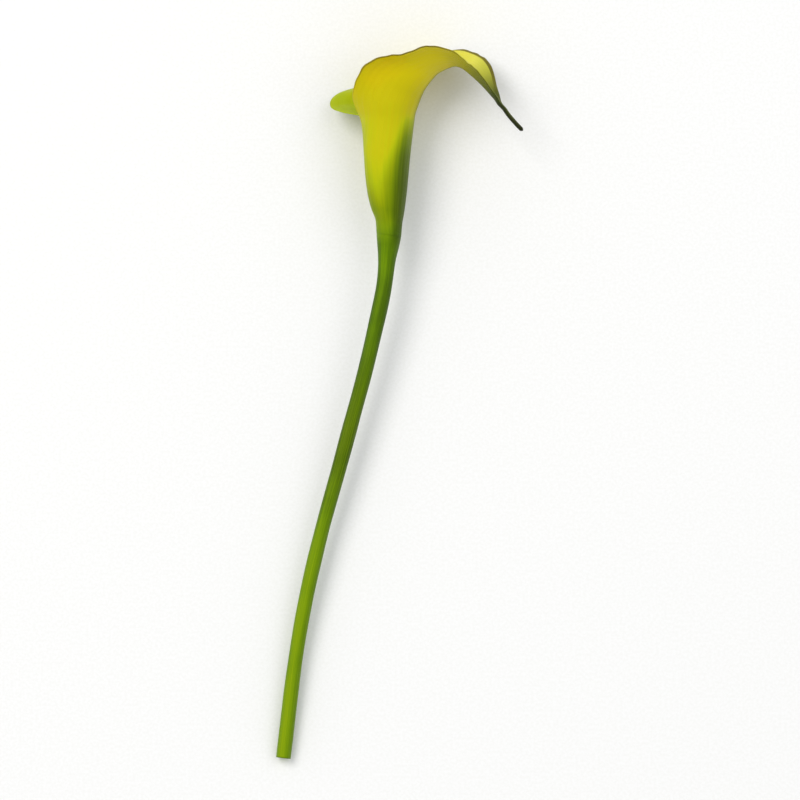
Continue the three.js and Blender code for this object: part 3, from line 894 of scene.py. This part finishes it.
def blade_rim(f, length, across, streak):
    """Strength of the line, from the distance to the margin in mm. It is broader from the limb on. Towards
    the tail it is broader still on the far half and fades on the near one."""
    towards_tail = f.between(length, 0.58, 0.72)
    far_tail = f.times(towards_tail, f.between(across, 0.1, -0.1))
    near_tail = f.times(towards_tail, f.between(across, -0.1, 0.1))
    distance = f.plus(f.number("from_margin"), f.between(streak, 0.3, 0.7, -RAGGED, RAGGED))
    distance = f.minus(distance, f.times(far_tail, TAIL_WIDER))
    distance = f.minus(distance, f.times(f.between(length, 0.44, 0.56), LIMB_WIDER))
    rim = f.times(f.between(distance, RIM_FROM, RIM_FULL), f.within(length, (0.28, 0.52), (0.78, 0.86)))
    free_lobe = f.times(f.between(across, 0.0, -0.1), f.between(length, 0.46, 0.38))
    rim = f.times(rim, f.minus(1.0, f.times(free_lobe, LOBE_FAINTER)))
    return f.times(rim, f.minus(0.85, f.times(near_tail, NEAR_TAIL_FAINTER)))


# %% Colours of the blade
BLADE_FRESH = [(0.0, 0.3), (0.015, 0.25), (0.04, 0.08), (0.07, 0.0)]
LIMB = [
    (0.30, srgb(193, 183, 10)), (0.40, srgb(194, 182, 6)), (0.50, srgb(210, 194, 8)),
    (0.62, srgb(207, 192, 8)), (0.70, srgb(174, 168, 8)), (0.77, srgb(126, 130, 6)),
    (0.83, srgb(70, 82, 18)), (0.88, srgb(38, 46, 26)), (1.0, srgb(20, 23, 16)),
]
INSIDE = [
    (0.0, srgb(120, 140, 0)), (0.15, srgb(172, 174, 0)), (0.45, srgb(206, 192, 10)),
    (0.62, srgb(218, 208, 44)), (0.72, srgb(218, 212, 84)), (0.78, srgb(176, 176, 62)),
    (0.84, srgb(92, 100, 40)), (1.0, srgb(28, 32, 22)),
]
LOBE_GREEN, WARM_GOLD = srgb(156, 176, 0), srgb(214, 180, 6)
KEEL_OLIVE, RIM_BROWN = srgb(104, 112, 4), srgb(84, 72, 24)


def blade_colour(f, along, across, inner, streak):
    """The pigments on the tube and the limb's own colours above it, the inner face's colours inside, and
    over them the lobe's green, warm clouds, the keel's line and the brown rim."""
    aside = f.math("ABSOLUTE", across)
    length = f.math("DIVIDE", along, float(LAST))
    green = f.plus(blade_green(f, length, aside), f.between(streak, 0.3, 0.75, -0.04, 0.08))
    tube = pigment(f, green, f.level(length, BLADE_FRESH))
    outside = f.blend(f.between(length, 0.28, 0.36), tube, f.ramp(length, LIMB))
    colour = f.blend(inner, outside, f.ramp(length, INSIDE))

    lobe = f.times(f.between(across, -0.5, -0.8), f.within(length, (0.18, 0.28), (0.40, 0.50)), 0.9)
    colour = f.blend(lobe, colour, LOBE_GREEN)
    cloud = f.noise(f.place(), 55.0, 3.0)
    warm = f.times(f.between(cloud, 0.45, 0.7, 0.0, 0.3), f.within(length, (0.3, 0.45), (0.6, 0.72)))
    colour = f.blend(warm, colour, WARM_GOLD)
    keel = f.times(f.between(aside, 0.15, 0.0), f.between(length, 0.14, 0.28))
    keel = f.times(keel, f.minus(0.65, f.times(inner, 0.5)))
    colour = f.blend(keel, colour, KEEL_OLIVE)
    return f.blend(blade_rim(f, length, across, streak), colour, RIM_BROWN)


# %% Blade material
VEIN_DEPTH, CELL_DEPTH = 0.00022, 0.00003  # relief that is left to the material, in metres
STREAKS_ACROSS, VEINS_ACROSS = 26.0, 120.0  # patches of noise across each half of the sheet


def blade_finish():
    """The blade's colour, veins with fine cells on them, and a waxy skin that lets light through."""
    f = Finish("golden_spathe")
    along, across, inner = f.number("along"), f.number("across"), f.number("inner")
    streak_place = f.vector(f.times(across, STREAKS_ACROSS), f.times(along, 0.35), inner)
    streak = f.noise(streak_place, 1.0, 4.0, 0.6)
    vein_place = f.vector(f.times(across, VEINS_ACROSS), f.times(along, 0.6), inner)
    veins = f.bump(f.noise(vein_place, 1.0, 2.0), VEIN_DEPTH, 0.6)
    f.put_on(blade, {
        "Base Color": blade_colour(f, along, across, inner, streak),
        "Normal": f.bump(f.noise(f.place(), 2600.0, 2.0), CELL_DEPTH, 0.5, under=veins),
        "Roughness": f.between(streak, 0.2, 0.8, 0.42, 0.54),
        "Specular IOR Level": WAX_GLOSS,
        "Specular Tint": WAX_TINT,
        "Subsurface Weight": 0.25,
        "Subsurface Radius": (1.0, 0.8, 0.05),
        "Subsurface Scale": GLOW_DEPTH,
    })


blade_finish()

# %% [markdown]
# ## The stalk's finish
#
# The stalk is a fresh green, darkest in its upper half and yellower towards the foot. Its side turned away
# from the key light is painted darker and greener, a painted shade that goes on from the keel's side of the
# blade and fades down the stalk, and its other edge is a little greener too, also painted shade. Paler and
# darker lines follow its fibres, and its smooth skin catches a long soft highlight. The cut face shows pale
# pith inside a green rim, with the darker dots of the fibres scattered through it.

# %% Colours of the stalk
#       (share of the length, value): green on the front, how strong the painted shade on the darker side is,
#           how fresh the skin is
FRONT = [(0.0, 0.61), (0.29, 0.63), (0.43, 0.73), (0.57, 0.92), (0.74, 0.96), (0.90, 0.83), (0.96, 0.81),
         (0.98, 0.86), (0.998, 0.70)]
SIDE_SHADE_STRENGTH = [(0.5, 0.5), (0.90, 0.85), (0.998, 1.0)]
STALK_FRESH = [(0.0, 0.35), (0.45, 0.35), (0.62, 0.15), (0.80, 0.4), (0.97, 0.4), (0.998, 0.3)]
SIDE_SHADE_COS = (-0.20, 0.59)  # where the painted shade on the side away from the key light begins and is full, round the stalk
EDGE_SHADE_COS = (-0.5, -0.95)  # the same for the painted shade on the edge opposite
PITH, FIBRE_DOTS, CUT_RIM = srgb(196, 208, 142), srgb(112, 138, 60), srgb(120, 146, 44)
FIBRES_PER_METRE = 1400.0


def skin_colour(f, along, around_cos, lines):
    """The pigments read by FRONT, plus the painted shade on the side away from the key light, and the
    unevenness of lines and clouds with a painted shade at the opposite edge, which fades away where the blade
    begins."""
    front = f.level(along, FRONT)
    # painted shade: the side away from the key light is made darker and greener
    side_shade = f.times(f.between(around_cos, *SIDE_SHADE_COS), f.minus(1.0, front), f.level(along, SIDE_SHADE_STRENGTH))
    cloud = f.noise(f.place(), 40.0, 3.0)
    uneven_and_edge_shade = f.plus(f.between(lines, 0.35, 0.7, 0.05, -0.12), f.between(cloud, 0.4, 0.75, -0.05, 0.09))
    # painted shade: the edge opposite the shaded side is made a little greener
    uneven_and_edge_shade = f.plus(uneven_and_edge_shade, f.between(around_cos, *EDGE_SHADE_COS, 0.0, 0.1))
    green = f.plus(f.plus(front, side_shade), f.times(uneven_and_edge_shade, f.between(along, 0.998, 0.97)))
    return pigment(f, green, f.level(along, STALK_FRESH))


def cut_colour(f, radial):
    """Pale pith with a dot at each seat of a random lattice, and a green rim round it."""
    dots = f.add("ShaderNodeTexVoronoi", {"Vector": f.place(), "Scale": FIBRES_PER_METRE})
    pith = f.blend(f.between(dots.outputs["Distance"], 0.32, 0.18), PITH, FIBRE_DOTS)
    return f.blend(f.between(radial, 0.72, 0.93), pith, CUT_RIM)


# %% Stalk material
def stalk_finish():
    """Skin outside and pith on the cut, fine fibres as relief, and a smooth waxy gloss."""
    f = Finish("green_stalk")
    along, radial = f.number("along"), f.number("radial")
    around_cos, around_sin = f.number("around_cos"), f.number("around_sin")

    def fibres(around, lengthwise, detail, roughness=0.5):
        """Noise that is fine round the stalk and long along it."""
        place = f.vector(f.times(around_cos, around), f.times(around_sin, around), f.times(along, lengthwise))
        return f.noise(place, 1.0, detail, roughness)

    lines = fibres(7.0, 5.0, 4.0, 0.65)
    skin = skin_colour(f, along, around_cos, lines)
    f.put_on(stalk, {
        "Base Color": f.blend(f.between(radial, 0.995, 0.985), skin, cut_colour(f, radial)),
        "Normal": f.bump(fibres(22.0, 9.0, 2.0), 0.00012, 0.6),
        "Roughness": f.between(lines, 0.3, 0.7, 0.38, 0.5),
        "Specular IOR Level": WAX_GLOSS,
        "Specular Tint": WAX_TINT,
        "Subsurface Weight": 0.12,
        "Subsurface Radius": (0.7, 1.0, 0.2),
        "Subsurface Scale": GLOW_DEPTH,
    })


stalk_finish()

# %% [markdown]
# ## The florets' finish
#
# Colour follows the relief: dark and greener in the crevices, which is painted shade, and bright on the
# crowns, which is partly a painted highlight, and no two florets are quite the same. The ovaries are moist,
# the anthers are dry and dusted with pollen.

# %% Floret materials
# crevice to crown: the dark low end is painted shade, the pale top partly a painted highlight
OVARY_SHADED_GREENS = [(0.0, srgb(70, 92, 14)), (0.55, srgb(140, 160, 40)), (0.9, srgb(190, 198, 84)),
                (1.0, srgb(214, 206, 110))]
ANTHER_SHADED_GOLDS = [(0.0, srgb(138, 82, 8)), (0.5, srgb(216, 150, 18)), (1.0, srgb(246, 196, 54))]
OWN_COLOUR = 0.35  # how far a floret may turn to the other colour


def floret_finish(piece, name, stops, roughness, other, grain):
    """Colour by rise through stops, blended towards another colour by each floret's own number."""
    f = Finish(name)
    own = f.times(f.number("chance"), OWN_COLOUR)
    f.put_on(piece, {
        # low rise, in the crevices, is painted shade; the pale crowns are partly a painted highlight
        "Base Color": f.blend(own, f.ramp(f.number("rise"), stops), other),
        "Normal": f.bump(f.noise(f.place(), grain, 3.0), 0.00012, 0.7),
        "Roughness": roughness,
        "Subsurface Weight": 0.15,
        "Subsurface Radius": (1.0, 0.7, 0.2),
        "Subsurface Scale": 0.0006,
    })


floret_finish(ovaries, "green_ovaries", OVARY_SHADED_GREENS, roughness=0.4, other=srgb(160, 176, 40), grain=1800.0)
floret_finish(anthers, "golden_anthers", ANTHER_SHADED_GOLDS, roughness=0.75, other=srgb(236, 170, 24), grain=3000.0)

# %% [markdown]
# ## Floor and light
#
# The floor is plain and pale, so that nothing competes with the flower. The light is soft: a wide panel
# from the upper left gives the blade its shape, a weaker one from the right opens the shadows, and a pale
# sky fills the rest.

# %% Floor
FLOOR_HALF = 1.5
FLOOR_GREY, FLOOR_WHITE = srgb(236, 235, 232), srgb(240, 239, 237)


def make_floor():
    """One square at height 0, FLOOR_HALF to each side, with a very faint grain."""
    mesh = bpy.data.meshes.new("floor")
    corners = [(FLOOR_HALF * x, FLOOR_HALF * y, 0) for x, y in ((-1, -1), (1, -1), (1, 1), (-1, 1))]
    mesh.from_pydata(corners, [], [(0, 1, 2, 3)])
    floor = bpy.data.objects.new("floor", mesh)
    bpy.context.scene.collection.objects.link(floor)
    f = Finish("pale_floor")
    grain = f.between(f.noise(f.place(), 900.0, 2.0), 0.3, 0.7)
    f.put_on(floor, {"Base Color": f.blend(grain, FLOOR_GREY, FLOOR_WHITE), "Roughness": 0.7})


make_floor()

# %% Lights
LIGHT_TARGET = Vector((0.0, 0.05, 0.02))
SKY_TINT, SKY_STRENGTH = (0.95, 0.97, 1.0, 1.0), 0.68


def add_panel(name, place, size, watts, tint):
    """A square area light, turned to face LIGHT_TARGET."""
    data = bpy.data.lights.new(name, "AREA")
    data.size = size
    data.energy = watts
    data.color = tint
    panel = bpy.data.objects.new(name, data)
    panel.location = place
    aim = LIGHT_TARGET - Vector(place)
    panel.rotation_euler = aim.to_track_quat("-Z", "Y").to_euler()
    bpy.context.scene.collection.objects.link(panel)
    print(f"{name} light: {watts} W, {size} m wide, {aim.length:.2f} m away")


add_panel("key", place=(-1.6, 1.2, 3.0), size=1.8, watts=62.0, tint=(1.0, 0.99, 0.97))
add_panel("fill", place=(1.8, 0.7, 3.0), size=2.4, watts=24.0, tint=(0.97, 0.985, 1.0))

world = bpy.data.worlds.new("pale_sky")
bpy.context.scene.world = world
world.use_nodes = True
sky = world.node_tree.nodes["Background"]
sky.inputs["Color"].default_value = SKY_TINT
sky.inputs["Strength"].default_value = SKY_STRENGTH
bpy.context.scene.view_settings.view_transform = "Standard"
